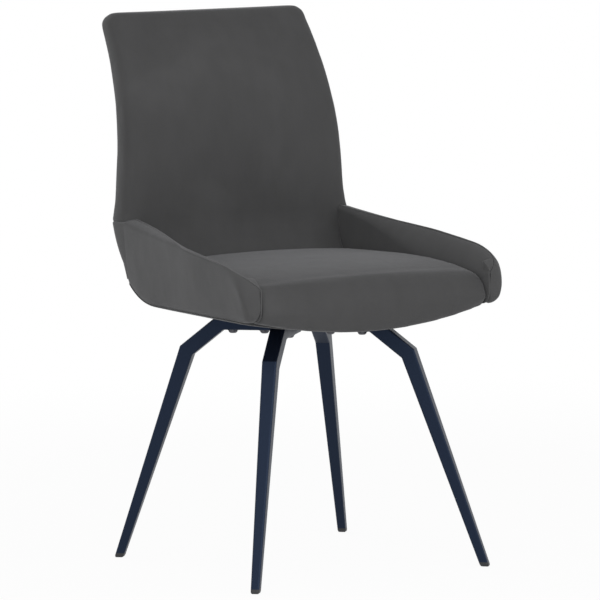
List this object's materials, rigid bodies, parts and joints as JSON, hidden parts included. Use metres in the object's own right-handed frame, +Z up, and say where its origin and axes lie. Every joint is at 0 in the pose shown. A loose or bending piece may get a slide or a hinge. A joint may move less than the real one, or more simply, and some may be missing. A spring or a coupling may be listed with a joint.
{
  "type": "swivel_chair",
  "caption": "Padded swivel dining chair: tub seat with low side wings and a leaning back, turning on a ball-bearing plate over splayed, tapering steel tube legs.",
  "frame": {"origin": "On the floor, at the middle of the chair's bounding box in plan", "axes": "+Z up; the sitter faces -Y; +X is the sitter's left"},
  "size_m": [0.485, 0.552, 0.8777],
  "materials": {
    "leg_steel": "satin powder coat, blue-black",
    "black_plastic": "moulded, matt",
    "dark_fastener": "blackened steel",
    "plate_steel": "black coated pressed steel",
    "bright_steel": "zinc plated",
    "nylon": "natural nylon",
    "plywood": "raw beech plywood",
    "velvet": "short-pile velvet, charcoal grey",
    "black_cloth": "non-woven lining cloth"
  },
  "bodies": {
    "base": {"leg_front_left": "leg_steel", "leg_front_right": "leg_steel", "leg_rear_left": "leg_steel", "leg_rear_right": "leg_steel", "foot_front_left": "black_plastic", "foot_front_right": "black_plastic", "foot_rear_left": "black_plastic", "foot_rear_right": "black_plastic", "leg_bolts": "dark_fastener", "leg_washers": "dark_fastener", "lower_swivel_plate": "plate_steel", "pivot_rivet": "bright_steel"},
    "cage": {"ball_cage": "nylon", "bearing_balls": "bright_steel"},
    "seat": {"upper_swivel_plate": "plate_steel", "pivot_washer": "nylon", "seat_screws": "bright_steel", "tee_nuts": "bright_steel", "spacer_board": "plywood", "seat_board": "plywood", "seat_cushion": "velvet", "underside_pad": "velvet", "dust_cover": "black_cloth", "wing_board_left": "plywood", "wing_board_right": "plywood", "wing_board_screws": "bright_steel", "wing_panel_left": "velvet", "wing_panel_right": "velvet", "wing_roll_left": "velvet", "wing_roll_right": "velvet", "rear_wrap": "velvet", "back_board": "plywood", "back_board_screws": "bright_steel", "back_cushion": "velvet", "back_panel": "velvet"}
  },
  "joints": [
    {"name": "seat_swivel", "type": "hinge", "parent": "base", "child": "seat", "pos_m": [0, -0.029, 0.4045], "axis": [0, 0, 1], "continuous": true},
    {"name": "cage_turn", "type": "hinge", "parent": "base", "child": "cage", "pos_m": [0, -0.029, 0.4045], "axis": [0, 0, 1], "continuous": true}
  ],
  "couplings": [
    {"joint": "cage_turn", "follows": "seat_swivel", "ratio": 0.5}
  ]
}
